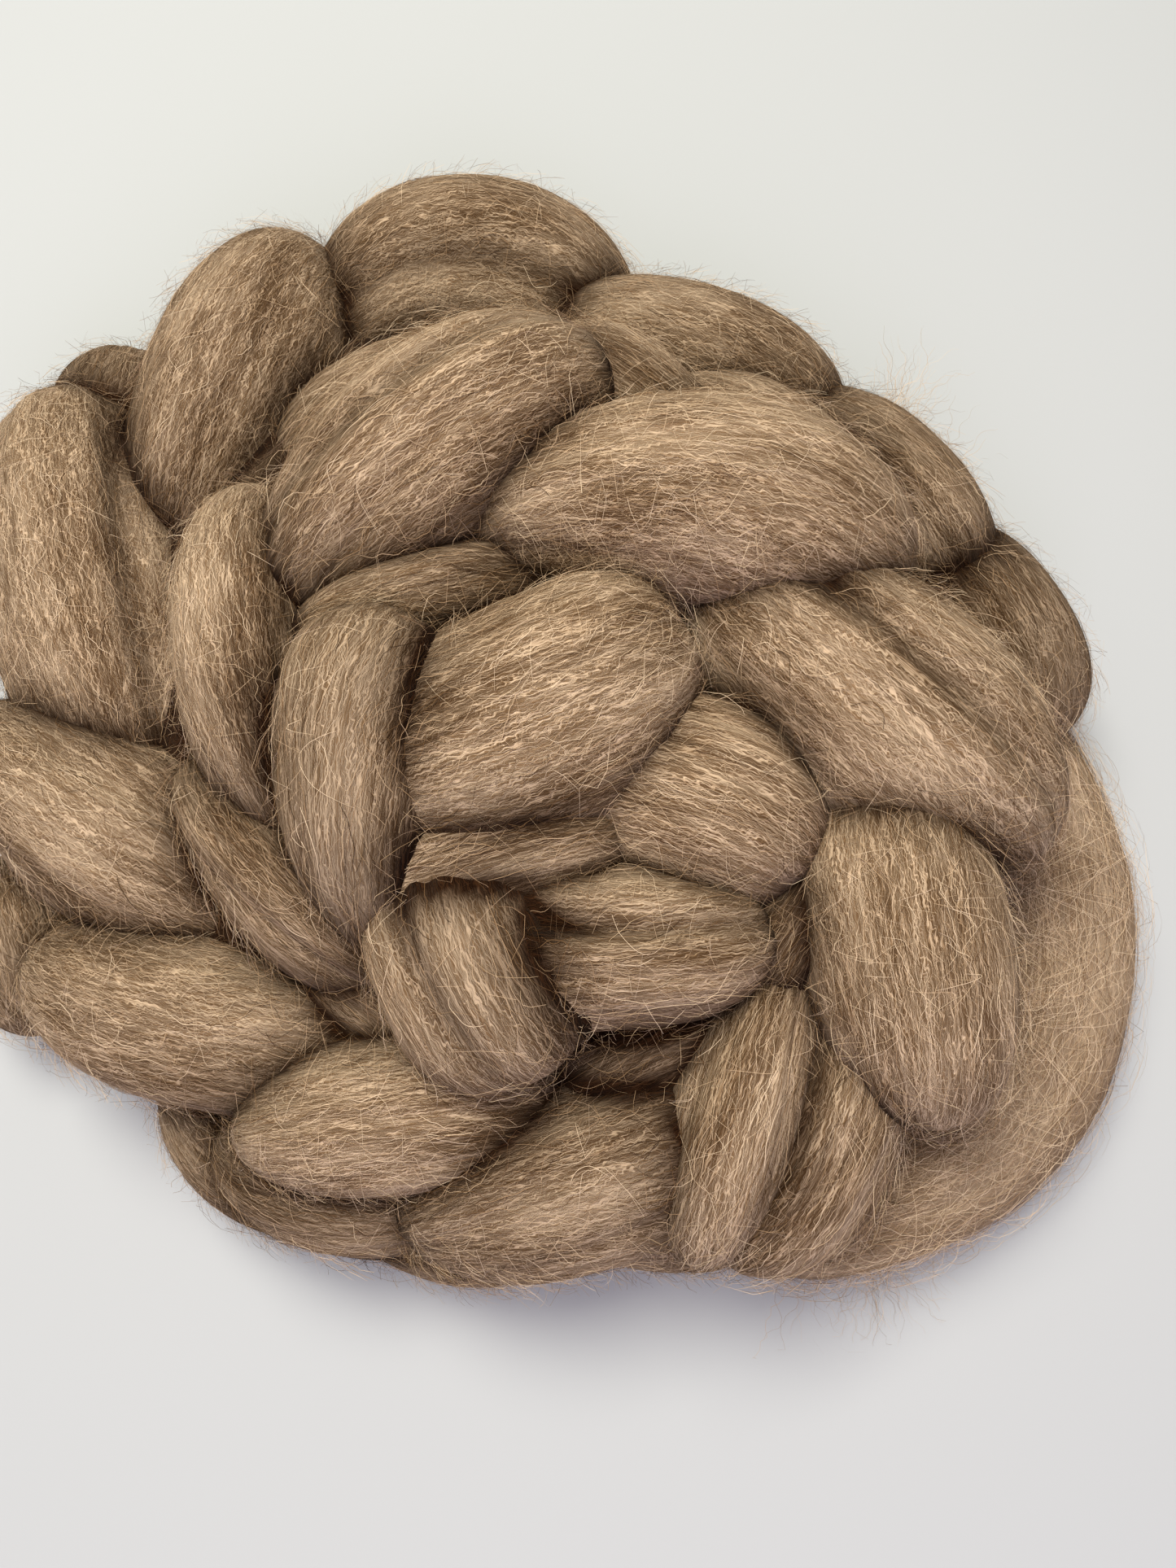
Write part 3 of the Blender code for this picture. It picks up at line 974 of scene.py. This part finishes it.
@dataclass(frozen=True)
class Wisp:
    """A small loose bunch of fibres that sticks out.

    place is where it starts and heading the way it goes, in degrees, give or take spread. rise is
    how steeply it climbs, and narrow is how wide the bunch is where it starts.
    """

    place: tuple[float, float, float]
    heading: float
    spread: float
    rise: float
    count: int
    length: tuple[float, float]
    narrow: float = 2.5
    steps: int = 16
    width: tuple[float, float] = (0.06, 0.1)
    crimp: float = 0.5
    crimp_length: tuple[float, float] = (4, 8)
    turning: float = 0.7
    tilt: float = 60
    tones: int = 3
    front_limit: float = -133.0

    def grow(self, batch: FibreBatch, seed: int) -> None:
        """Adds the bunch to a batch.

        Args:
            batch: what the fibres are added to.
            seed: the bunch's own number.
        """
        draw = np.random.default_rng([WISP_SEED, seed])
        part = np.linspace(0, 1, self.steps)[None, :]
        length = draw.uniform(*self.length, self.count)[:, None]
        turn = np.radians(draw.normal(self.heading, self.spread, self.count))[:, None]
        turn = turn + draw.normal(0, self.turning, self.count)[:, None] * part
        phase = draw.uniform(0, FULL_TURN, (2, self.count))[..., None]
        wave = draw.uniform(*self.crimp_length, self.count)[:, None]
        curl = FULL_TURN * part * length / wave
        sway = self.crimp * (np.sin(curl + phase[0]) + np.sin(0.4 * curl + phase[1]))
        step = (length / (self.steps - 1))[..., None]
        heading = np.stack([np.cos(turn), np.sin(turn), np.zeros_like(turn)], -1)
        start = np.array(self.place) + draw.normal(0, self.narrow, (self.count, 1, 3))
        line = start + np.cumsum(heading * step, axis=1)
        line[..., 0] -= sway * np.sin(turn)
        line[..., 1] += sway * np.cos(turn)
        line[..., 2] += self.rise * length * part + 0.5 * self.crimp * np.cos(curl + phase[1])
        line[..., 1] = np.maximum(line[..., 1], self.front_limit)
        fibres = Fibres(
            width=draw.uniform(*self.width, self.count)[:, None] * (1.1 - 0.7 * part),
            tilt=np.radians(draw.normal(0, self.tilt, self.count))[:, None, None],
            tones=draw.choice(self.tones, self.count),
        )
        batch.add(line, np.zeros_like(line) + UP, fibres)


@dataclass(frozen=True)
class LobeGroup:
    """A part of the plait: its skins, the fibres that lie on them and the fuzz over them.

    filling shows between the lobes and grows no fibres. Skin that lies deeper than buried in a
    neighbour is left out.
    """

    name: str
    lobes: tuple[Lobe, ...]
    first_seed: int
    stands_for: str | None = None
    wisps: tuple[Wisp, ...] = ()
    lying: FibreLay = LYING
    fuzz: tuple[FibreLay, ...] = (CROSSING, STANDING)
    filling: tuple[Lobe, ...] = ()
    rings: int = 44
    columns: int = 96
    buried: float = -2.5
    swell: float = 0.6
    crease: float = 1.3
    ridge: float = 0.06
    # How much a lobe's own painted shade and the painted shade along its fold add to the painted
    # shade of a crease.
    skin_shade: float = 0.9
    skin_fold_shade: float = 0.5
    fibre_shade: float = 0.6
    fibre_fold_shade: float = 0.4
    # How far along a lobe the fibres' middles and their ends may lie, as shares of its half.
    middle_limit: float = 0.97
    end_limit: float = 0.985
    # The least height over the floor, and the least gap to other lobes, where a fibre may grow.
    lowest: float = 1.5
    least_gap: float = -0.2
    root_height: float = 0.4
    # Between which upward slants of the skin fibres get fewer, underneath and on top.
    under_fade: tuple[float, float] = (-1.1, 0.3)
    top_fade: tuple[float, float] = (-0.1, 1.2)

    def relief(self, number: int, lobe: Lobe) -> Relief:
        """The relief of the group's lobe with this number."""
        seed = self.first_seed + number
        return Relief(seed, self.swell, self.crease, self.ridge, lobe.fold)

    def skins(self, plait: Plait, material: bpy.types.Material) -> bpy.types.Object:
        """Makes one piece of all the group's skins, without what lies deep inside neighbours.

        Args:
            plait: all the lobes.
            material: the skins' finish.

        Returns:
            The piece, with what its finish reads on its points.
        """
        along = -np.cos(np.pi * (np.arange(self.rings) + 0.5) / self.rings)
        along, around = tube_grid(along, self.columns)
        quads, triangles = tube_faces(self.rings, self.columns)
        points, places, painted_shade_shares, all_quads, all_triangles, first = [], [], [], [], [], 0
        for number, lobe in enumerate((*self.lobes, *self.filling)):
            relief = self.relief(number, lobe)
            skin, _ = lobe.skin(along, around, relief.on_lobe(along, around))
            here = np.concatenate([skin.reshape(-1, 3), lobe.centre_line(np.array([-1.0, 1.0]))])
            here[:, 2] = np.maximum(here[:, 2], FLOOR_GAP)
            gap = plait.clearance(here, lobe)
            own_quads = quads[(gap[quads] > self.buried).any(axis=1)]
            own_triangles = triangles[(gap[triangles] > self.buried).any(axis=1)]
            used = np.unique(np.concatenate([own_quads.ravel(), own_triangles.ravel()]))
            place_of = np.zeros(len(here), int)
            place_of[used] = first + np.arange(len(used))
            first += len(used)
            points.append(here[used])
            turned = around - math.radians(lobe.twist) * along / 2
            half = lobe.length / 2
            straight = straightened(along * half, turned, lobe.radius, (-half, half))
            straight[:, 0] += STRAND_STEP * (self.first_seed + number)
            places.append(straight[used])
            # Painted shade on the skins: darker in creases near other lobes, along the fold and on
            # lobes given shade.
            folded = np.append(relief.folded(along, around).ravel(), [0.0, 0.0])
            painted_shade_share = crease_shade(gap) + self.skin_shade * lobe.shade + self.skin_fold_shade * folded
            painted_shade_shares.append(np.clip(painted_shade_share[used], 0, 1))
            all_quads.append(place_of[own_quads])
            all_triangles.append(place_of[own_triangles])
        arrays = map(np.concatenate, (points, all_quads, all_triangles))
        piece = mesh_piece(f"{self.name}_strands", *arrays)
        keep_on_points(piece, "strand_place", np.concatenate(places))
        keep_on_points(piece, "painted_shade_share", np.concatenate(painted_shade_shares))
        piece.data.materials.append(material)
        return piece

    def grow(self, batch: FibreBatch, plait: Plait, lay: FibreLay, salt: int) -> None:
        """Grows one kind of fibre over the lobes, thinner where they face down.

        Args:
            batch: what the fibres are added to.
            plait: all the lobes.
            lay: the kind of fibre.
            salt: a number that sets this kind's random draws apart.
        """
        for number, lobe in enumerate(self.lobes):
            draw = np.random.default_rng([self.first_seed, number, salt])
            count = int(lobe.area * lay.density)
            middle = draw.uniform(-self.middle_limit, self.middle_limit, count)
            angle = draw.uniform(0, FULL_TURN, count)
            here, outward = lobe.skin(middle, angle, self.root_height)
            free = plait.clearance(here, lobe) > self.least_gap
            free &= here[:, 2] > self.lowest
            free &= outward[:, 2] > draw.uniform(*self.under_fade, count)
            if lay.on_flanks:
                free &= outward[:, 2] < draw.uniform(*self.top_fade, count)
            middle, angle = middle[free], angle[free]
            run = lay.run(draw, len(middle))
            along = middle[:, None] + run.ahead / (lobe.length / 2)
            along = np.clip(along, -self.end_limit, self.end_limit)
            turn = math.radians(lobe.twist) / 2 * (along - middle[:, None])
            around = angle[:, None] + run.sideways / lobe.radius + turn
            relief = self.relief(number, lobe)
            line, outward = lobe.skin(along, around, run.height + relief.on_lobe(along, around))
            # Painted shade on the fibres: darker tones in creases near other lobes, along the fold
            # and on lobes given shade.
            gap = plait.clearance(line[:, lay.steps // 2], lobe)
            depth = crease_shade(gap) + self.fibre_shade * lobe.shade
            depth += self.fibre_fold_shade * relief.folded(middle, angle)
            run.darken(depth * lay.crease_shade_steps + draw.uniform(-0.5, 0.5, len(depth)))
            batch.add(line, outward, run)

    def build(self, plait: Plait, finishes: Finishes) -> list[bpy.types.Object]:
        """Makes the group's pieces.

        Args:
            plait: all the lobes.
            finishes: the materials.

        Returns:
            The skins, the lying fibres and the fuzz, if it has any.
        """
        skins = self.skins(plait, finishes.plaited)
        if self.stands_for:
            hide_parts(self.stands_for)
        batches = [FibreBatch(f"{self.name}_fibres", Slot.PLAITED)]
        self.grow(batches[0], plait, self.lying, 0)
        if self.fuzz:
            batches.append(FibreBatch(f"{self.name}_fuzz", Slot.PLAITED))
        for salt, lay in enumerate(self.fuzz, 1):
            self.grow(batches[1], plait, lay, salt)
        for number, wisp in enumerate(self.wisps):
            wisp.grow(batches[1], self.first_seed + number)
        return [skins, *(batch.build(finishes) for batch in batches)]


@dataclass
class Underside:
    """The plait's reverse and the inside of the coil, which show only in gaps and from below."""

    # The underside's lobes carry painted shade, and the inside more of it.
    start: Lobe = Lobe("underside_start", -3, 13, 14, 20, 66, 40, 34, 0, 2, 2, 2.6, 0, 0, 0.2)
    strand: Lobe = Lobe("underside", 0, 0, 14, 0, 64, 38, 34, 0, 2, 2, 2.4, 0, 0, 0.2)
    centre: tuple[float, float] = (-8, 15)
    radii: tuple[float, float] = (94, 104)
    pitch: float = 42
    step: float = 40
    slant: float = 36
    probe: float = 0.02
    inside: Lobe = Lobe("inside", -4, 12, 32, 90, 204, 188, 50, 0, 0, 0, 2.0, 0, 0, 0.5)
    first_seed: int = 400
    rings: int = 26
    columns: int = 64

    def spiral(self, angle: float) -> np.ndarray:
        """The spiral's point at an angle, from its outer end inwards."""
        reach = np.array(self.radii) - self.pitch * angle / FULL_TURN
        return np.array(self.centre) + reach * [math.cos(angle), math.sin(angle)]

    def lobes(self) -> tuple[Lobe, ...]:
        """The reverse's strands, laid slantwise by turns along the spiral."""
        rows = [self.start]
        angle = 0.0
        inner = (self.start.width + self.strand.width) / 2
        while min(self.radii) - self.pitch * angle / FULL_TURN > inner:
            x, y = self.spiral(angle)
            ahead = self.spiral(angle + self.probe) - [x, y]
            slant = self.slant if len(rows) % 2 else -self.slant
            heading = math.degrees(math.atan2(ahead[1], ahead[0])) + slant
            name = f"{self.strand.name}_{len(rows)}"
            rows.append(replace(self.strand, name=name, x=x, y=y, heading=heading))
            angle += self.step * self.probe / float(np.linalg.norm(ahead))
        return tuple(rows)

    def group(self) -> LobeGroup:
        """The reverse as a group of lobes, plainer than the others and without fuzz."""
        return LobeGroup(
            "underside",
            self.lobes(),
            self.first_seed,
            lying=BENEATH,
            fuzz=(),
            filling=(self.inside,),
            rings=self.rings,
            columns=self.columns,
        )


@dataclass
class LooseEnd:
    """The smooth end of the top, which comes out under the rim, lies on the floor and frays out."""

    diameter: float = 32
    height: float = 15.8
    wide: float = 18.5
    thick: float = 14.6
    route: tuple[tuple[float, float], ...] = (
        (79, 30), (101, 16), (115, -2), (121, -25), (120, -49),
        (112, -70), (97, -86), (78, -95), (59, -98), (44, -94),
    )
    rings: int = 111
    columns: int = 96
    # The tip's share of the length, and how narrow it gets.
    tip_share: float = 0.16
    tip_width: float = 0.55
    swell: float = 0.4
    crease: float = 0.8
    ridge: float = 0.05
    relief_pace: float = 6.0
    # The share of the way round that grows fibres, and how deep in a lobe they may start.
    open_share: float = 0.75
    least_gap: float = -0.3
    seed: int = 900
    wisps: tuple[Wisp, ...] = (
        Wisp((62, -104, 6), -74, 26, -0.1, 90, (12, 27), narrow=5.5),
        Wisp((80, -100, 6), -66, 20, -0.1, 60, (12, 28), narrow=4.5),
        Wisp((80, -112, 1.5), -86, 12, 0.0, 26, (12, 22), narrow=1.6),
        Wisp((98, -90, 8), -50, 24, -0.1, 50, (8, 18), narrow=5.0),
    )

    def line(self, steps: int) -> np.ndarray:
        """The route as a smooth curve through its own points.

        Args:
            steps: how many steps it is cut into.

        Returns:
            The curve's points, one more than the steps.
        """
        route = [np.array([x, y, self.height]) for x, y in self.route]
        spans = len(route) - 1
        padded = [2 * route[0] - route[1], *route, 2 * route[-1] - route[-2]]
        points = []
        for step in range(steps + 1):
            place = spans * step / steps
            span = min(int(place), spans - 1)
            part = place - span
            before, start, end, after = padded[span:span + 4]
            points.append(0.5 * (
                2 * start
                + (end - before) * part
                + (2 * before - 5 * start + 4 * end - after) * part**2
                + (3 * start - 3 * end + after - before) * part**3
            ))
        return np.array(points)

    def surface(
        self, line: np.ndarray, share: np.ndarray, around: np.ndarray, height: np.ndarray
    ) -> tuple[np.ndarray, np.ndarray]:
        """Points on or above the loose end's skin.

        Args:
            line: the centre line, evenly stepped.
            share: places along it from 0 to 1.
            around: angles round it.
            height: distance above the smooth skin.

        Returns:
            The points and the outward directions there.
        """
        steps = len(line) - 1
        at = np.clip(share, 0, 1) * steps
        whole = np.arange(steps + 1)
        centre = np.stack([np.interp(at, whole, line[:, k]) for k in range(3)], -1)
        slopes = np.gradient(line, axis=0)
        ahead = unit(np.stack([np.interp(at, whole, slopes[:, k]) for k in range(3)], -1))
        side = unit(np.cross(UP, ahead))
        above = np.cross(ahead, side)
        taper = self.taper(share)
        cosine, sine = np.cos(around)[..., None], np.sin(around)[..., None]
        outward = unit(side * cosine / self.wide + above * sine / self.thick)
        points = centre + (side * cosine * self.wide + above * sine * self.thick) * taper[..., None]
        points[..., 2] -= (self.height - self.thick) * (1 - taper) * 2
        return points + outward * height[..., None], outward

    def taper(self, share: np.ndarray) -> np.ndarray:
        """How the section shrinks towards the frayed tip."""
        left = np.clip((1 - share) / self.tip_share, 0, 1)
        return self.tip_width + (1 - self.tip_width) * np.sin(left * math.pi / 2)

    def build(self, plait: Plait, finishes: Finishes) -> list[bpy.types.Object]:
        """Args:
            plait: all the lobes.
            finishes: the materials.

        Returns:
            The band of wool and its fibres.
        """
        line = self.line(self.rings - 1)
        relief = Relief(self.seed, self.swell, self.crease, self.ridge)
        share, around = tube_grid(np.linspace(0, 1, self.rings), self.columns)
        skin, _ = self.surface(line, share, around, relief.height(share * self.relief_pace, around))
        points = np.concatenate([skin.reshape(-1, 3), line[[0, -1]]])
        points[:, 2] = np.maximum(points[:, 2], FLOOR_GAP)
        band = mesh_piece("loose_end_band", points, *tube_faces(self.rings, self.columns))
        run = np.append(0.0, np.cumsum(np.linalg.norm(np.diff(line, axis=0), axis=1)))
        length = np.broadcast_to(run[:, None], around.shape)
        straight = straightened(length, around, self.diameter / 2, (0.0, run[-1]))
        keep_on_points(band, "strand_place", straight)
        # Painted shade: the band is darker where it lies near the lobes.
        keep_on_points(band, "painted_shade_share", crease_shade(plait.clearance(points, None)))
        band.data.materials.append(finishes.loose)
        fibres = self.fibres(line, run[-1], relief, plait, finishes)
        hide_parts("loose_end")
        return [band, fibres]

    def fibres(
        self, line: np.ndarray, length: float, relief: Relief, plait: Plait, finishes: Finishes
    ) -> bpy.types.Object:
        """Grows the loose end's fibres and its frayed tip.

        Args:
            line: the centre line.
            length: its length.
            relief: the band's relief.
            plait: all the lobes.
            finishes: the materials.

        Returns:
            The fibres as one piece.
        """
        batch = FibreBatch("loose_end_fibres", Slot.LOOSE)
        tip = unit(line[-1] - line[-2])
        for number, lay in enumerate((LOOSE_LYING, LOOSE_FUZZ)):
            draw = np.random.default_rng([self.seed, number])
            count = int(length * self.diameter * math.pi * self.open_share * lay.density)
            share = draw.uniform(0.02, 1.0, count)[:, None]
            angle = draw.uniform(-0.25 * math.pi, 1.25 * math.pi, count)[:, None]
            run = lay.run(draw, count)
            at = share + run.ahead / length
            around = angle + run.sideways / (self.diameter / 2)
            height = run.height + relief.height(at * self.relief_pace, around)
            points, outward = self.surface(line, at, around, height)
            points += tip * np.maximum(at - 1, 0)[..., None] * length
            # Painted shade: fibres near the lobes take darker tones.
            gap = plait.clearance(points[:, lay.steps // 2], None)
            run.darken(crease_shade(gap) * lay.crease_shade_steps)
            free = gap > self.least_gap
            batch.add(points[free], outward[free], run.some(free))
        for number, wisp in enumerate(self.wisps):
            wisp.grow(batch, number)
        return batch.build(finishes)


@dataclass(frozen=True)
class SoftLight:
    """A square light that looks at the bundle, with its sizes in metres and its power in watts."""

    name: str
    place: tuple[float, float, float]
    side: float
    power: float
    colour: tuple[float, float, float]

    def build(self) -> None:
        """Makes the light."""
        data = bpy.data.lights.new(self.name, "AREA")
        data.size, data.energy, data.color = self.side, self.power, self.colour
        made = linked(self.name, data)
        made.location = self.place
        made.rotation_mode = "QUATERNION"
        made.rotation_quaternion = (-Vector(self.place)).to_track_quat("-Z", "Y")


@dataclass
class Studio:
    """The pale floor, the soft lights and the camera."""

    focal_pixels: float = 1447
    frame_pixels: float = 1927
    sensor: float = 36
    elevation: float = 78
    camera_place: tuple[float, float, float] = (13.0, -62.58, 294.42)
    floor_size: float = 6.0
    floor_colour: tuple[float, float, float] = (0.485, 0.505, 0.54)
    surround: tuple[float, float, float] = (1.0, 0.95, 0.89)
    surround_strength: float = 0.28
    lights: tuple[SoftLight, ...] = (
        SoftLight("key", (-0.16, 0.3, 0.92), 0.45, 12.3, (1.0, 0.965, 0.81)),
        SoftLight("fill", (0.1, -0.75, 0.6), 0.7, 4.4, (0.94, 0.84, 1.0)),
    )

    def build(self) -> None:
        """Makes all of it."""
        self.camera()
        self.floor()
        self.world()
        for light in self.lights:
            light.build()

    def camera(self) -> None:
        """Places the camera as the photograph was taken."""
        data = bpy.data.cameras.new("photo_camera")
        data.sensor_width = self.sensor
        data.lens = self.focal_pixels / self.frame_pixels * self.sensor
        data.clip_start = 0.01
        made = linked("photo_camera", data)
        made.location = Vector((np.array(self.camera_place) + COIL_SHIFT) * MM)
        made.rotation_euler = (math.radians(90 - self.elevation), 0, 0)
        bpy.context.scene.camera = made

    def floor(self) -> None:
        """Lays a plain pale floor."""
        half = self.floor_size / 2
        corners = [(-half, -half, 0.0), (half, -half, 0.0), (half, half, 0.0), (-half, half, 0.0)]
        mesh = bpy.data.meshes.new("floor")
        mesh.from_pydata(corners, [], [(0, 1, 2, 3)])
        finish = NodeFinish("pale_floor")
        finish.set(Base_Color=(*self.floor_colour, 1.0), Roughness=0.9, Specular_IOR_Level=0.1)
        mesh.materials.append(finish.material)
        linked("floor", mesh)

    def world(self) -> None:
        """Gives an even pale surround."""
        world = bpy.data.worlds.new("studio")
        world.use_nodes = True
        background = world.node_tree.nodes["Background"]
        background.inputs["Color"].default_value = (*self.surround, 1.0)
        background.inputs["Strength"].default_value = self.surround_strength
        bpy.context.scene.world = world
        bpy.context.scene.view_settings.view_transform = "Standard"


RIM_WISPS = (
    Wisp((84, 78, 36), 62, 20, 0.5, 90, (8, 19), narrow=3.0),
    Wisp((94, 68, 32), 40, 30, 0.3, 60, (6, 12), narrow=4.0),
)


def main() -> None:
    """Builds the stage, the loose end and the plait."""
    logging.basicConfig(level=logging.INFO, format="%(name)s: %(message)s")
    Studio().build()
    finishes = Finishes()
    groups = (
        LobeGroup("first_turn", FIRST_TURN, 100, "braided_top", RIM_WISPS),
        LobeGroup("second_turn", SECOND_TURN, 200),
        LobeGroup("coil_core", COIL_CORE, 300),
        Underside().group(),
    )
    plait = Plait(tuple(lobe for group in groups for lobe in group.lobes))
    pieces = LooseEnd().build(plait, finishes)
    for group in groups:
        pieces += group.build(plait, finishes)
    total = 0
    for piece in pieces:
        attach(piece, "root")
        count = triangles_of(piece)
        total += count
        log.info("%s has %d triangles", piece.name, count)
    log.info("all pieces have %d triangles", total)


if __name__ == "__main__":
    main()
